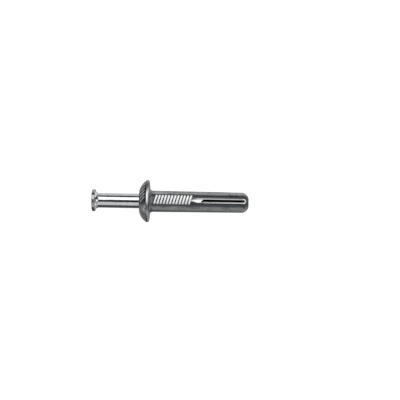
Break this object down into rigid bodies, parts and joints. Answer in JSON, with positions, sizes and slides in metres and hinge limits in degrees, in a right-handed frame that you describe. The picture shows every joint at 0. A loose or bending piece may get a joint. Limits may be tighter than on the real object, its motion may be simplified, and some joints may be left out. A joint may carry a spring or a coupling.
{
  "type": "hammer-drive wall anchor",
  "caption": "Hammer-drive wall anchor: a die-cast mushroom-head sleeve with a slotted expansion end, and a steel drive nail that spreads its legs when driven home.",
  "frame": {"origin": "centre of the head's flat underside, where the anchor's axis crosses the wall's face", "axes": "+X along the anchor's axis towards its expansion nose, +Z out of the slot on the side with the raised marks"},
  "size_m": [0.0501, 0.0136, 0.0136],
  "materials": {
    "cast_zinc": "tumbled zinc alloy die casting, dark grey with bright worn edges",
    "plated_steel": "bright zinc plating over drawn wire"
  },
  "bodies": {
    "anchor": {"anchor_body": "cast_zinc"},
    "nail": {"drive_nail": "plated_steel"},
    "front_leg": {"front_leg": "cast_zinc"},
    "back_leg": {"back_leg": "cast_zinc"}
  },
  "joints": [
    {"name": "nail_drive", "type": "slide", "parent": "anchor", "child": "nail", "axis": [1, 0, 0], "range_m": [0, 0.0138]},
    {"name": "front_leg_spread", "type": "hinge", "parent": "anchor", "child": "front_leg", "pos_m": [0.0164, -0.00331, 0], "axis": [0, 0, -1], "range_deg": [0, 3]},
    {"name": "back_leg_spread", "type": "hinge", "parent": "anchor", "child": "back_leg", "pos_m": [0.0164, 0.00331, 0], "axis": [0, 0, 1], "range_deg": [0, 3]}
  ],
  "couplings": [
    {"joint": "front_leg_spread", "follows": "nail_drive", "rad_per_m": 3.794},
    {"joint": "back_leg_spread", "follows": "nail_drive", "rad_per_m": 3.794}
  ]
}
